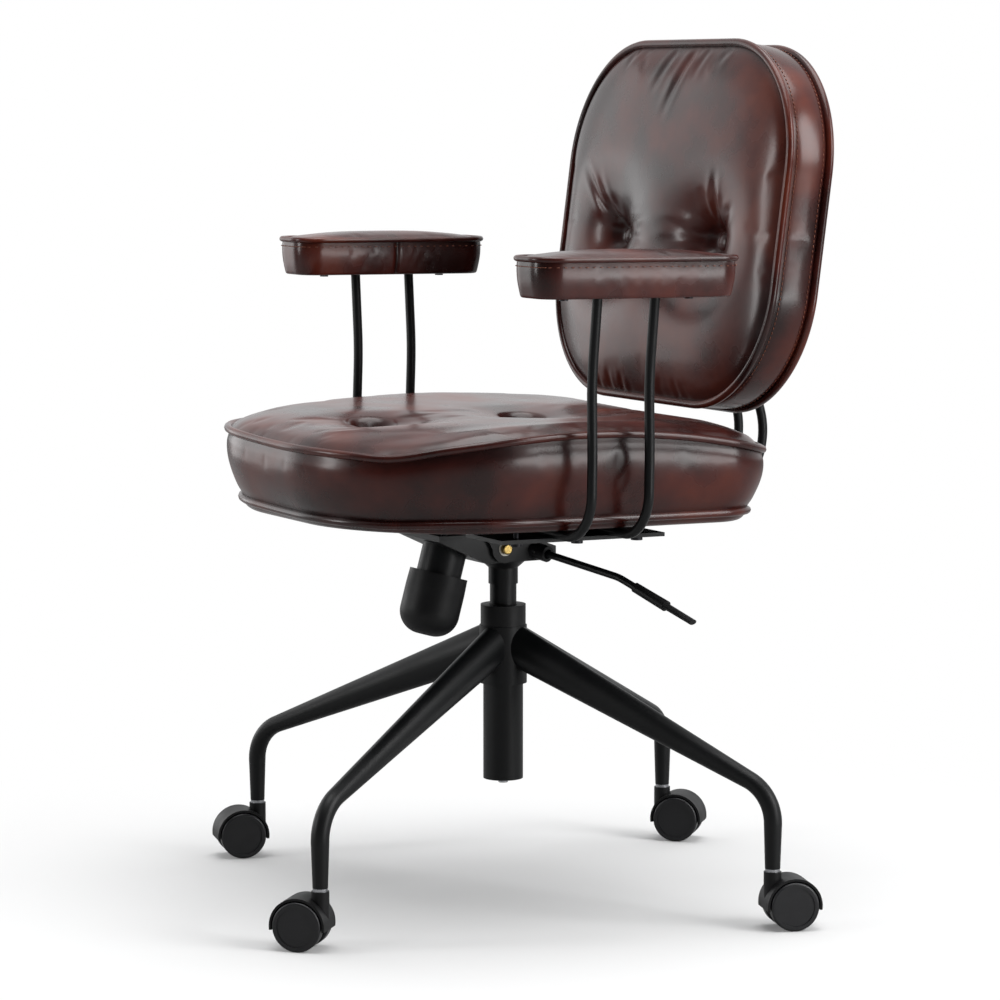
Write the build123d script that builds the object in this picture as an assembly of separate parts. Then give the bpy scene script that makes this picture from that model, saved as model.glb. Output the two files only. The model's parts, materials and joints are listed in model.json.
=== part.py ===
# Office chair on a four-legged base: gas lift, tilting seat, two armrests and a padded back.
# Millimetres, +Z up, the chair faces -Y, and the origin is on the floor under the swivel axis.
import os
from math import atan, cos, degrees, radians, sin, sqrt, tan

from build123d import *

# Clearances
running_gap = 0.05
face_gap = 0.3
hang_gap = 0.2
weld_sink = 1.0

# Base and legs
leg_count = 4
leg_first_angle = 27.5
stem_circle_radius = 326.0
caster_height = 62.0
elbow_rise = 76.0
leg_rise = 132.0
leg_bend_radius = 45.0
leg_root_height = 44.0
leg_root_width = 31.0
leg_tube_diameter = 18.5
leg_tip_diameter = 15.5
leg_wall = 1.2
leg_root_radius = 12.0
hub_diameter = 50.0
hub_height = 61.0
hub_above_leg_axis = 14.0
socket_depth = 38.0

# Casters
wheel_diameter = 50.0
wheel_width = 12.8
wheel_edge_radius = 2.2
wheel_face_wall = 3.0
wheel_face_recess = 1.0
wheel_rim = 5.0
caster_trail = 19.0
caster_trail_angles = (73.0, 46.0, 256.0, 225.0)
caster_web = 13.6
caster_web_gap = 0.4
hood_gap = 1.3
hood_wall = 2.4
hood_skirt = 4.0
hood_overhang = 2.0
neck_diameter = 18.0
stem_diameter = 11.0
stem_collar_diameter = 15.0
stem_collar_height = 3.0
stem_insert = 26.0
stem_chamfer = 1.4
stem_top_gap = 2.0
axle_diameter = 6.0

# Column
tube_diameter = 42.0
tube_wall = 2.0
tube_floor = 3.0
tube_below_hub = 102.0
collar_diameter = 47.5
collar_height = 22.0
collar_roof = 6.0
guide_length = 80.0
cylinder_diameter = 28.0
cylinder_wall = 2.5
cylinder_floor = 6.0
cylinder_roof = 16.0
cylinder_foot_gap = 7.0
cylinder_exposed = 22.0
taper_drop = 0.8
rod_diameter = 10.0
rod_shoulder_diameter = 18.0
rod_shoulder_height = 3.0
rod_end = 5.0
piston_height = 10.0
piston_top_gap = 8.0
race_diameter = 24.0
race_height = 2.0
cage_height = 2.5
cage_rim = 1.0
clip_diameter = 17.0
clip_height = 1.5
clip_depth = 0.8
clip_mouth = 7.0
valve_pin_diameter = 7.0
valve_pin_height = 7.0
valve_pin_depth = 10.0
valve_pin_dome = 1.75

# Tilt mechanism
socket_wall = 1.5
socket_height = 17.0
socket_flare = 11.0
socket_flare_radius = 28.0
socket_inside = 6.0
pan_wall = 3.0
pan_half_width = 45.0
pan_front_y = -45.0
pan_rear_y = 38.0
pan_rear_rise = 14.0
pan_top_rise = 31.0
pan_ramp_angle = 25.0
pan_lip_y = -100.0
pan_lip_height = 6.0
pan_top_front_y = -62.0
pan_top_rear_y = -8.0
pivot_y = -25.0
pivot_rise = 15.0
pivot_diameter = 11.0
pivot_stub = 6.0
pivot_dome = 1.5
bush_wall = 2.0
bush_flange_diameter = 20.0
bush_flange = 0.9
ear_gap = 1.0
ear_wall = 4.0
ear_radius = 15.0
ear_root = 34.0

# Tilt tension knob: its axis leans forward at its foot and passes the tilt pivot at the knob's arm
knob_lean = 15.5
knob_arm = 42.0
knob_rim = 41.0
knob_length = 65.0
knob_rim_radius = 30.6
knob_radius = 31.2
knob_shoulder = 16.0
knob_foot_radius = 24.0
knob_wall = 2.0
knob_floor = 24.0
knob_boss_radius = 9.0
knob_boss_height = 18.0
bolt_diameter = 10.0
bolt_tail = 10.0
bolt_hole_radius = 8.0
ball_radius = 8.0
ball_gap = 0.4
stirrup_slot_width = 12.0
stirrup_slot_length = 18.0
stirrup_half_width = 20.0
stirrup_depth = 22.0
stirrup_wall = 3.5
sleeve_radius = 23.5
sleeve_wall = 2.5
sleeve_overlap = 8.0
sleeve_seat = 26.0
spring_wire = 4.5
spring_radius = 15.0
spring_turns = 5

# Lift lever
lever_angle = 16.7
lever_diameter = 7.5
lever_slope = 0.15
lever_bend = 164.5
lever_outer_slope = 0.358
lever_end = 215.0
lever_inner_end = -8.0
lever_bend_radius = 60.0
lever_pivot = 52.0
lever_pin_gap = 1.1
lever_pin_diameter = 4.0
lever_bush_diameter = 17.0
lever_bush_start = 40.0
lever_bush_end = 65.0
lever_swing_room = 1.4
grip_start = 187.0
grip_shoulder = 229.0
grip_end = 265.0
grip_root = 10.5
grip_width = 13.0
grip_height = 11.0
grip_tip_root_width = 11.6
grip_tip_root_height = 5.8
grip_tip_width = 10.6
grip_tip_height = 5.5

# Seat, in a frame that leans back with the rake
seat_rake = 0.7
seat_under_rise = 36.0
plate_thickness = 4.0
plate_half_width = 75.0
plate_front_y = -115.0
plate_rear_y = 85.0
plate_corner = 15.0
plate_bolt_x = 60.0
plate_bolt_ys = (-95.0, 65.0)
board_thickness = 12.0
board_margin = 34.0
seat_half_width = 230.0
seat_front_y = -275.0
seat_rear_y = 201.0
seat_front_corner = 180.0
seat_rear_corner = 66.0
seat_skirt_height = 11.0
seat_boxing_height = 69.0
seat_skirt_inset = 26.0
seat_seam_inset = 15.0
seat_bulge = 1.5
seat_crown = 33.0
seat_tuft_ys = (-156.0, 21.0)
tuft_radius = 34.0
tuft_floor_radius = 9.0
tuft_depth = 17.0

# Fasteners
screw_diameter = 6.0
screw_head_diameter = 12.0
screw_head_height = 4.0
screw_bite = 9.0
small_screw_diameter = 4.0
small_screw_head_diameter = 9.0
small_screw_head_height = 2.5
small_screw_bite = 14.0

# Armrests
rail_diameter = 10.0
arm_rail_ys = (-43.5, 22.0)
arm_top_gap = 32.0
arm_waist_gap = 23.0
arm_hip_gap = 26.0
arm_rail_waist_rise = 153.0
arm_rail_hip_rise = 83.0
arm_rail_sway_radius = 300.0
arm_rail_bend_radius = 46.0
arm_rail_inner_x = 118.0
arm_height = 234.5
arm_plate_inner_x = 112.0
arm_plate_outer_x = 186.0
arm_plate_margin = 62.0
arm_bolt_x = 172.0
arm_bolt_spread = 70.0
arm_bar_thickness = 4.0
arm_bar_width = 34.0
arm_bar_length = 176.0
pad_length = 228.0
pad_width = 70.0
pad_height = 38.0
pad_crown = 8.0
pad_corner = 25.0
pad_foot_inset = 4.0
pad_foot_height = 9.5
pad_bulge = 1.5
pad_screw_spread = 142.0

# Back
back_lean = 7.0
back_front_y = 176.0
back_bottom_rise = 111.5
back_height = 378.0
back_half_width = 216.0
back_top_half_width = 216.0
back_bottom_corner = 126.0
back_top_corner = 129.0
back_boxing = 48.0
back_bulge = 3.0
back_crown = 20.0
back_rear_crown = 5.0
back_rear_inset = 31.5
back_board_thickness = 10.0
back_board_scale = 0.84
back_tuft_x = 95.0
back_tuft_height = 171.0
back_tuft_radius = 56.0
back_tuft_depth = 30.0
button_diameter = 22.0
button_height = 6.0
button_dome = 4.8
back_rail_x = 24.0
back_rail_corner_y = 333.0
back_rail_bend_radius = 78.0
back_rail_knee_radius = 60.0
back_rail_start_y = 100.0
back_rail_knee_height = 150.0
back_rail_top_height = 262.0
back_foot_half_width = 48.0
back_foot_end_y = 162.0
back_foot_bolt_x = 38.0
back_foot_bolt_inset = 14.0
bracket_thickness = 4.0
bracket_half_width = 55.0
bracket_bottom = 142.0
bracket_top = 270.0
bracket_screw_inset = 14.0
bracket_corner = 7.0

# Heights and places that follow from the sizes above
elbow_z = caster_height + elbow_rise
leg_axis_z = elbow_z + leg_rise
hub_top = leg_axis_z + hub_above_leg_axis
hub_bottom = hub_top - hub_height
tube_bottom = hub_bottom - tube_below_hub
collar_top = hub_top + collar_height
tube_top = collar_top - collar_roof
socket_bottom = collar_top + cylinder_exposed
pan_bottom = socket_bottom + socket_height + socket_flare
pivot_z = pan_bottom + pivot_rise
cylinder_top = pan_bottom + socket_inside
bearing_bottom = tube_bottom + tube_floor
bearing_top = bearing_bottom + 2 * race_height + cage_height
cylinder_bottom = bearing_top + rod_shoulder_height + cylinder_foot_gap
seat_under = pivot_z + seat_under_rise
rail_z = seat_under - face_gap - rail_diameter / 2
frame_plate_top = rail_z - rail_diameter / 2 + weld_sink
arm_top = seat_under + arm_height
arm_rail_top_x = seat_half_width + arm_top_gap
arm_rail_waist_x = seat_half_width + arm_waist_gap
arm_rail_hip_x = seat_half_width + arm_hip_gap
arm_mid_y = sum(arm_rail_ys) / 2
seat_seam_z = seat_under + seat_skirt_height + seat_boxing_height
lever_z = cylinder_top + valve_pin_height + lever_pin_gap + lever_diameter / 2
wheel_inner = caster_web / 2 + caster_web_gap
UP = (Align.CENTER, Align.CENTER, Align.MIN)


def disc(radius, bottom, top):
    return Pos(0, 0, bottom) * Cylinder(radius, top - bottom, align=UP)


def ring(outer, inner, bottom, top):
    return disc(outer, bottom, top) - disc(inner, bottom, top)


def bent_rod(points, radii, diameter):
    path = FilletPolyline(*points, radius=radii)
    section = Plane(origin=path @ 0, z_dir=path % 0) * Circle(diameter / 2)
    return sweep(section, path=path)


def screw(diameter, head_diameter, head_height, length):
    # Head downwards, its seat at z = 0 and the shank upwards
    return disc(head_diameter / 2, -head_height, 0) + disc(diameter / 2, 0, length)


def raked(shape):
    # Lean a piece of the tilting seat back about the tilt pivot
    pivot = Pos(0, pivot_y, pivot_z)
    return pivot * Rot(-seat_rake, 0, 0) * pivot.inverse() * shape


def on_knob_axis(shape):
    # Local +Z runs down the knob's axis from its point nearest to the tilt pivot
    lean = radians(knob_lean)
    foot = Pos(0, pivot_y - knob_arm * cos(lean), pivot_z + knob_arm * sin(lean))
    return foot * Rot(180 - knob_lean, 0, 0) * shape


def on_lever(shape):
    # Local +X runs out along the lever from the column's axis
    return Rot(0, 0, lever_angle) * shape


def on_back(shape):
    # Local X across, Y up the back's front seam plane, Z forwards out of it
    place = Pos(0, back_front_y, seat_under + back_bottom_rise)
    return raked(place * Rot(90 - back_lean, 0, 0) * shape)


# Base

def base_hub():
    return ring(hub_diameter / 2, tube_diameter / 2, hub_bottom, hub_top)


def leg_form(inset):
    # A tapered oval tube that slopes down from the hub and turns upright at its tip
    slope = atan(leg_rise / stem_circle_radius)
    turn = radians(90) - slope
    tangent = leg_bend_radius * tan(turn / 2)
    root = (leg_root_radius, 0, leg_axis_z - leg_root_radius * tan(slope))
    run = (cos(slope), 0, -sin(slope))
    bend_start = (stem_circle_radius - tangent * cos(slope), 0, elbow_z + tangent * sin(slope))
    bend_end = (stem_circle_radius, 0, elbow_z - tangent)
    centre_x = stem_circle_radius - leg_bend_radius
    bend_mid = (centre_x + leg_bend_radius * cos(turn / 2), 0, bend_end[2] + leg_bend_radius * sin(turn / 2))
    tube = leg_tube_diameter / 2 - inset
    oval = Ellipse(leg_root_width / 2 - inset, leg_root_height / 2 - inset)
    first = Plane(origin=root, x_dir=(0, 1, 0), z_dir=run) * oval
    last = Plane(origin=bend_start, x_dir=(0, 1, 0), z_dir=run) * Circle(tube)
    arm = loft([first, last])
    elbow = sweep(last, path=ThreePointArc(bend_start, bend_mid, bend_end))
    foot_height = bend_end[2] - caster_height
    foot = Pos(stem_circle_radius, 0, caster_height) * Cone(
        leg_tip_diameter / 2 - inset, tube, foot_height, align=UP)
    return arm + elbow + foot


def leg(number):
    seat = Pos(stem_circle_radius, 0, 0) * disc(socket_radius(), caster_height, caster_height + socket_depth)
    hub_space = disc(hub_diameter / 2, hub_bottom - hub_height, hub_top + hub_height)
    shape = leg_form(0) - leg_form(leg_wall) - seat - hub_space
    return Rot(0, 0, leg_angle(number)) * shape


def leg_angle(number):
    return leg_first_angle + number * 360 / leg_count


def socket_radius():
    return leg_tip_diameter / 2 - leg_wall


def caster_sockets():
    bore = stem_diameter / 2 + running_gap
    one = ring(socket_radius(), bore, caster_height, caster_height + socket_depth)
    places = [Rot(0, 0, leg_angle(n)) * Pos(stem_circle_radius, 0, 0) for n in range(leg_count)]
    return Compound([place * one for place in places])


# Casters, modelled with the stem on the Z axis and the wheels trailing along +X

def at_caster(number, shape):
    place = Rot(0, 0, leg_angle(number)) * Pos(stem_circle_radius, 0, 0)
    turn = caster_trail_angles[number] - leg_angle(number)
    return place * Rot(0, 0, turn) * shape


def across(radius, start, stop):
    # A cylinder round the axle, from one distance along it to another
    middle = Pos(caster_trail, (start + stop) / 2, wheel_diameter / 2)
    return middle * Rot(90, 0, 0) * Cylinder(radius, abs(stop - start))


def caster_stem():
    top = caster_height + socket_depth - stem_top_gap
    neck_top = caster_height - hang_gap - stem_collar_height
    pin = disc(stem_diameter / 2, neck_top - stem_insert, top)
    pin = chamfer(pin.edges().group_by(Axis.Z)[-1], stem_chamfer)
    return pin + ring(stem_collar_diameter / 2, stem_diameter / 2, neck_top, neck_top + stem_collar_height)


def caster_hood():
    well = wheel_diameter / 2 + hood_gap
    half = wheel_inner + wheel_width - hood_overhang
    neck_top = caster_height - hang_gap - stem_collar_height
    shell = across(well + hood_wall, -half, half)
    keep = Pos(caster_trail, 0, wheel_diameter / 2 - hood_skirt) * Box(
        4 * wheel_diameter, 4 * wheel_diameter, 2 * wheel_diameter, align=UP)
    body = (shell & keep) + disc(neck_diameter / 2, wheel_diameter / 2, neck_top)
    for side in (-1, 1):
        body -= across(well, side * caster_web / 2, side * 2 * wheel_diameter)
    body -= across(axle_diameter / 2, -wheel_diameter, wheel_diameter)
    return body - disc(stem_diameter / 2, neck_top - stem_insert, neck_top + stem_insert)


def caster_axle():
    half = wheel_inner + wheel_width - wheel_face_wall - face_gap
    return across(axle_diameter / 2, -half, half)


def caster_wheel(side):
    outer = wheel_inner + wheel_width
    tread = across(wheel_diameter / 2, side * wheel_inner, side * outer)
    tread = fillet(tread.edges().filter_by(GeomType.CIRCLE), wheel_edge_radius)
    face_radius = wheel_diameter / 2 - wheel_rim
    recess = across(face_radius, side * (outer - wheel_face_recess), side * 2 * outer)
    bore = across(axle_diameter / 2 + running_gap, 0, side * (outer - wheel_face_wall))
    return tread - recess - bore


# Column and gas lift

def column_tube():
    bore = tube_diameter / 2 - tube_wall
    tube = disc(tube_diameter / 2, tube_bottom, tube_top) - disc(bore, bearing_bottom, tube_top)
    return tube - disc(rod_diameter / 2 + running_gap, tube_bottom, bearing_bottom)


def column_guide_bush():
    bore = cylinder_diameter / 2 + running_gap
    return ring(tube_diameter / 2 - tube_wall, bore, tube_top - guide_length, tube_top)


def column_collar():
    skirt = ring(collar_diameter / 2, tube_diameter / 2, hub_top, tube_top)
    return skirt + ring(collar_diameter / 2, cylinder_diameter / 2 + face_gap, tube_top, collar_top)


def thrust_bearing():
    bore = rod_diameter / 2 + face_gap
    cage_bottom = bearing_bottom + race_height
    cage_top = cage_bottom + cage_height
    lower = ring(race_diameter / 2, bore, bearing_bottom, cage_bottom)
    cage = ring(race_diameter / 2 - cage_rim, bore + cage_rim, cage_bottom, cage_top)
    upper = ring(race_diameter / 2, bore, cage_top, bearing_top)
    return Compound([lower, cage, upper])


def piston_rod():
    top = cylinder_top - cylinder_roof - piston_top_gap
    rod = disc(rod_diameter / 2, tube_bottom - rod_end, top)
    rod += disc(rod_shoulder_diameter / 2, bearing_top, bearing_top + rod_shoulder_height)
    rod += disc(cylinder_diameter / 2 - cylinder_wall - running_gap, top - piston_height, top)
    groove_top = tube_bottom - face_gap
    return rod - ring(rod_diameter, rod_diameter / 2 - clip_depth, groove_top - clip_height, groove_top)


def column_clip():
    top = tube_bottom - face_gap
    clip = ring(clip_diameter / 2, rod_diameter / 2 - clip_depth, top - clip_height, top)
    return clip - Pos(0, 0, top - clip_height) * Box(
        clip_diameter, clip_mouth, clip_height, align=(Align.MIN, Align.CENTER, Align.MIN))


def cylinder_taper(gap):
    height = cylinder_top - socket_bottom
    wide = cylinder_diameter / 2 + gap
    return Pos(0, 0, socket_bottom) * Cone(wide, wide - taper_drop, height, align=UP)


def gas_cylinder():
    bore = cylinder_diameter / 2 - cylinder_wall
    shape = disc(cylinder_diameter / 2, cylinder_bottom, socket_bottom) + cylinder_taper(0)
    shape -= disc(bore, cylinder_bottom + cylinder_floor, cylinder_top - cylinder_roof)
    shape -= disc(rod_diameter / 2 + running_gap, cylinder_bottom, cylinder_bottom + cylinder_floor)
    return shape - disc(valve_pin_diameter / 2 + running_gap, cylinder_top - cylinder_roof, cylinder_top)


def release_pin():
    pin = disc(valve_pin_diameter / 2, cylinder_top - valve_pin_depth, cylinder_top + valve_pin_height)
    return fillet(pin.edges().group_by(Axis.Z)[-1], valve_pin_dome)


# Tilt mechanism

def ramp_z(y):
    # Underside of the pan's front ramp
    return pan_bottom + (pan_front_y - y) * tan(radians(pan_ramp_angle))


def pan_form(inset, top_rise):
    # Side outline of the pan, drawn in by its wall and as tall as asked
    lift = inset / cos(radians(pan_ramp_angle))
    lip_y = pan_lip_y + inset
    outline = Polyline(
        (pan_rear_y - inset, pan_bottom + inset),
        (pan_front_y, pan_bottom + inset),
        (lip_y, ramp_z(lip_y) + lift),
        (lip_y, ramp_z(lip_y) + pan_lip_height + top_rise),
        (pan_top_front_y, pan_bottom + pan_top_rise + top_rise),
        (pan_top_rear_y, pan_bottom + pan_top_rise + top_rise),
        (pan_rear_y - inset, pan_bottom + pan_rear_rise + top_rise),
        close=True)
    half = pan_half_width - inset
    return extrude(Plane.YZ * make_face(outline), amount=half, both=True)


def taper_socket():
    outer = cylinder_diameter / 2 + socket_wall
    flare_bottom = socket_bottom + socket_height
    shape = disc(outer, socket_bottom, cylinder_top)
    flare = Pos(0, 0, flare_bottom) * Cone(outer, socket_flare_radius, socket_flare, align=UP)
    return shape + flare


def mechanism_housing():
    shape = pan_form(0, 0) - pan_form(pan_wall, pan_top_rise)
    shape += taper_socket()
    shape -= cylinder_taper(0)
    shape -= pivot_bar(pivot_diameter / 2, 2 * pan_half_width)
    shape -= on_knob_axis(disc(bolt_hole_radius, 0, knob_rim))
    return shape - lever_bore(lever_bush_diameter / 2)


def pivot_bar(radius, half_length):
    return Pos(0, pivot_y, pivot_z) * Rot(0, 90, 0) * Cylinder(radius, 2 * half_length)


def tilt_pivot_pin():
    half = pan_half_width + ear_gap + ear_wall + pivot_stub
    pin = pivot_bar(pivot_diameter / 2, half)
    return fillet(pin.edges().filter_by(GeomType.CIRCLE), pivot_dome)


def ear_start():
    return pan_half_width + ear_gap


def pivot_bushes():
    bore = pivot_diameter / 2 + running_gap
    bushes = []
    for side in (-1, 1):
        barrel = Pos(side * (ear_start() + ear_wall / 2), 0, 0) * Rot(0, 90, 0) * Cylinder(
            pivot_diameter / 2 + bush_wall, ear_wall)
        flange = Pos(side * (ear_start() - bush_flange / 2), 0, 0) * Rot(0, 90, 0) * Cylinder(
            bush_flange_diameter / 2, bush_flange)
        bushes.append(Pos(0, pivot_y, pivot_z) * (barrel + flange) - pivot_bar(bore, 4 * pan_half_width))
    return Compound(bushes)


def seat_plate():
    bottom = seat_under - plate_thickness
    length = plate_rear_y - plate_front_y
    middle_y = (plate_rear_y + plate_front_y) / 2
    plan = Pos(0, middle_y) * RectangleRounded(2 * plate_half_width, length, plate_corner)
    shape = Pos(0, 0, bottom) * extrude(plan, plate_thickness)
    for side in (-1, 1):
        root = Polyline(
            (pivot_y - ear_root, bottom), (pivot_y + ear_root, bottom),
            (pivot_y + ear_radius, pivot_z), (pivot_y - ear_radius, pivot_z), close=True)
        cheek = make_face(root) + Pos(pivot_y, pivot_z) * Circle(ear_radius)
        start = Plane.YZ.offset(ear_start() if side > 0 else -ear_start() - ear_wall)
        shape += extrude(start * cheek, ear_wall)
    for x in (-plate_bolt_x, plate_bolt_x):
        for y in plate_bolt_ys:
            shape -= Pos(x, y, 0) * disc(screw_diameter / 2, bottom, seat_under)
    shape -= pivot_bar(pivot_diameter / 2 + bush_wall, 4 * pan_half_width)
    return raked(shape) + (bolt_stirrup() - above_seat_plate())


def above_seat_plate():
    # Everything higher than the middle of the seat plate
    middle = seat_under - plate_thickness / 2
    return raked(Pos(0, 0, middle) * Box(4 * plate_half_width, 4 * plate_half_width, seat_under, align=UP))


def stirrup_floor():
    # Where the ball head seats on the slot's edges, down the knob's axis
    return sqrt(ball_radius ** 2 - (stirrup_slot_width / 2) ** 2) + ball_gap


def bolt_stirrup():
    # A strap that hangs from the seat plate and carries the tension bolt's ball head
    width = 2 * stirrup_half_width
    top = -2 * seat_under_rise
    bottom = stirrup_floor() + stirrup_wall
    outside = Pos(0, 0, top) * Box(width, stirrup_depth, bottom - top, align=UP)
    inside = Pos(0, 0, top) * Box(
        width - 2 * stirrup_wall, stirrup_depth, stirrup_floor() - top, align=UP)
    slot = Pos(0, 0, top) * extrude(
        Rot(0, 0, 90) * SlotOverall(stirrup_slot_length, stirrup_slot_width), bottom - top)
    return on_knob_axis(outside - inside - slot)


def knob_end():
    return knob_rim + knob_length


def tension_bolt():
    # A ball-headed bolt, pulled up by the stirrup, with the knob on its tail
    shank = disc(bolt_diameter / 2, 0, knob_floor_height() - bolt_tail)
    return on_knob_axis(shank + Sphere(ball_radius))


def knob_floor_height():
    return knob_end() - knob_floor


def tension_knob():
    end = knob_end()
    foot = knob_foot_radius
    shoulder = knob_rim + knob_shoulder
    mid = foot / sqrt(2)
    outline = Polyline((0, knob_rim), (knob_rim_radius, knob_rim), (knob_radius, shoulder))
    side = Line((knob_radius, shoulder), (knob_radius, end - foot))
    turn = ThreePointArc((knob_radius, end - foot),
                         (knob_radius - foot + mid, end - foot + mid),
                         (knob_radius - foot, end))
    close_up = Polyline((knob_radius - foot, end), (0, end), (0, knob_rim))
    body = revolve(Plane.XZ * make_face(outline + side + turn + close_up), axis=Axis.Z)
    body -= disc(knob_rim_radius - knob_wall, knob_rim, knob_floor_height())
    body += disc(knob_boss_radius, knob_floor_height() - knob_boss_height, knob_floor_height())
    return on_knob_axis(body - disc(bolt_diameter / 2 + running_gap, knob_rim, end - knob_wall))


def spring_sleeve():
    # A spring cover fixed under the pan's ramp, its foot inside the knob's rim
    foot = knob_rim + sleeve_overlap
    tube = disc(sleeve_radius, -knob_rim, foot) - disc(sleeve_radius - sleeve_wall, sleeve_seat, foot)
    shape = on_knob_axis(tube - disc(bolt_hole_radius, -knob_rim, foot))
    size = 8 * sleeve_radius
    above = Pos(0, pan_front_y, pan_bottom) * Rot(-pan_ramp_angle, 0, 0) * Box(size, size, size, align=UP)
    return shape - above


def tension_spring():
    # A closed coil between the sleeve's seat and the knob's floor
    length = knob_floor_height() - sleeve_seat - spring_wire - 2 * face_gap
    path = Helix(pitch=length / spring_turns, height=length, radius=spring_radius)
    section = Plane(origin=path @ 0, z_dir=path % 0) * Circle(spring_wire / 2)
    coil = sweep(section, path=path)
    return on_knob_axis(Pos(0, 0, sleeve_seat + spring_wire / 2 + face_gap) * coil)


# Lift lever

def lever_height(reach):
    inner = lever_z - lever_slope * min(reach, lever_bend)
    return inner - lever_outer_slope * max(reach - lever_bend, 0)


def lever_bore(radius):
    # A bar along the lever where it leaves the pan
    middle = (lever_bush_start + lever_bush_end) / 2
    bar = Rot(0, 90 + degrees(atan(lever_slope)), 0) * Cylinder(radius, lever_bush_end - lever_bush_start)
    return on_lever(Pos(middle, 0, lever_height(middle)) * bar)


def lever_cross_pin(radius, half_length):
    bar = Rot(90, 0, 0) * Cylinder(radius, 2 * half_length)
    return on_lever(Pos(lever_pivot, 0, lever_height(lever_pivot)) * bar)


def lever_bush():
    shape = lever_bore(lever_bush_diameter / 2) - lever_bore(lever_diameter / 2 + lever_swing_room)
    return shape - lever_cross_pin(lever_pin_diameter / 2, lever_bush_diameter)


def lever_pin():
    return lever_cross_pin(lever_pin_diameter / 2, lever_bush_diameter / 2 - face_gap)


def lever_bar():
    points = [(reach, 0, lever_height(reach)) for reach in (lever_inner_end, lever_bend, lever_end)]
    return on_lever(bent_rod(points, lever_bend_radius, lever_diameter))


def lever_rod():
    return lever_bar() - lever_cross_pin(lever_pin_diameter / 2 + running_gap, lever_bush_diameter)


def grip_span(first, last):
    # A span of the grip between two stations, each its reach, width and height
    tilt = (cos(atan(lever_outer_slope)), 0, -sin(atan(lever_outer_slope)))
    sections = []
    for reach, width, height in (first, last):
        plane = Plane(origin=(reach, 0, lever_height(reach)), x_dir=(0, 1, 0), z_dir=tilt)
        sections.append(plane * Ellipse(width / 2, height / 2))
    return loft(sections)


def lever_grip():
    barrel = grip_span((grip_start, grip_root, grip_root), (grip_shoulder, grip_width, grip_height))
    tip = grip_span((grip_shoulder, grip_tip_root_width, grip_tip_root_height),
                    (grip_end, grip_tip_width, grip_tip_height))
    return on_lever(barrel + tip) - lever_bar()


# Upholstery: an outline is its low and high half widths, low and high ends, and low and high corners

seat_form = (seat_half_width, seat_half_width, seat_front_y, seat_rear_y, seat_front_corner, seat_rear_corner)
back_form = (back_half_width, back_top_half_width, 0, back_height, back_bottom_corner, back_top_corner)
pad_form = (pad_width / 2, pad_width / 2, arm_mid_y - pad_length / 2, arm_mid_y + pad_length / 2,
            pad_corner, pad_corner)
crown_shares = (1.0, 0.93, 0.78, 0.52, 0.25)


def plan_level(form, inset, share, height):
    low_half, high_half, low, high, low_corner, high_corner = form
    middle = (low + high) / 2
    reach = ((high - low) / 2 - inset) * share
    low_x = (low_half - inset) * share
    high_x = (high_half - inset) * share
    corners = ((-low_x, middle - reach), (low_x, middle - reach), (high_x, middle + reach), (-high_x, middle + reach))
    plan = make_face(Polyline(*corners, close=True))
    plan = fillet(plan.vertices().group_by(Axis.Y)[0], (low_corner - inset) * share)
    plan = fillet(plan.vertices().group_by(Axis.Y)[-1], (high_corner - inset) * share)
    return Pos(0, 0, height) * plan


def crown_rise(crown, share):
    return crown * (1 - share ** 3)


def crown_share(form, x, y):
    # How far out from the outline's middle a point lies
    low_half, high_half, low, high = form[:4]
    half = (low_half + high_half) / 2
    return max(abs(x) / half, abs(2 * y - low - high) / (high - low))


def soft_form(form, sides, base, crown):
    # Boxing through its levels, then a crown that rises from the top seam
    boxing = loft([plan_level(form, inset, 1, height) for inset, height in sides])
    levels = [plan_level(form, 0, share, base + crown_rise(crown, share)) for share in crown_shares]
    return boxing + loft(levels)


def tuft(radius, floor, depth):
    # Space over a sewn dimple, its rim at z = 0
    sweep_radius = ((radius - floor) ** 2 + depth ** 2) / (2 * depth)
    half_turn = atan((radius - floor) / (sweep_radius - depth)) / 2
    middle = (radius - sweep_radius * sin(half_turn), -sweep_radius * (1 - cos(half_turn)))
    side = ThreePointArc((floor, -depth), middle, (radius, 0))
    foot = Line((0, -depth), (floor, -depth))
    rest = Polyline((radius, 0), (radius, depth), (0, depth), (0, -depth))
    return revolve(Plane.XZ * make_face(foot + side + rest), axis=Axis.Z)


def seat_cushion():
    seam = seat_under + seat_skirt_height
    middle = seam + seat_boxing_height / 2
    sides = ((seat_skirt_inset, seat_under), (seat_seam_inset, seam), (-seat_bulge, middle), (0, seat_seam_z))
    shape = soft_form(seat_form, sides, seat_seam_z, seat_crown)
    shape -= extrude(plan_level(seat_form, board_margin - face_gap, 1, seat_under), board_thickness)
    for y in seat_tuft_ys:
        rim = seat_seam_z + crown_rise(seat_crown, crown_share(seat_form, 0, y))
        shape -= Pos(0, y, rim) * tuft(tuft_radius, tuft_floor_radius, tuft_depth)
    return raked(shape)


def plate_bolts():
    return [(x, y) for x in (-plate_bolt_x, plate_bolt_x) for y in plate_bolt_ys]


def frame_bolt_places():
    arm_ys = (arm_mid_y - arm_bolt_spread, arm_mid_y, arm_mid_y + arm_bolt_spread)
    foot_ys = (back_rail_start_y + back_foot_bolt_inset, back_foot_end_y - back_foot_bolt_inset)
    arms = [(side * arm_bolt_x, y) for side in (-1, 1) for y in arm_ys]
    return arms + [(side * back_foot_bolt_x, y) for side in (-1, 1) for y in foot_ys]


def seat_board():
    shape = extrude(plan_level(seat_form, board_margin, 1, seat_under), board_thickness)
    for x, y in plate_bolts() + frame_bolt_places():
        shape -= Pos(x, y, 0) * disc(screw_diameter / 2, seat_under, seat_under + screw_bite)
    return raked(shape)


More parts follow.
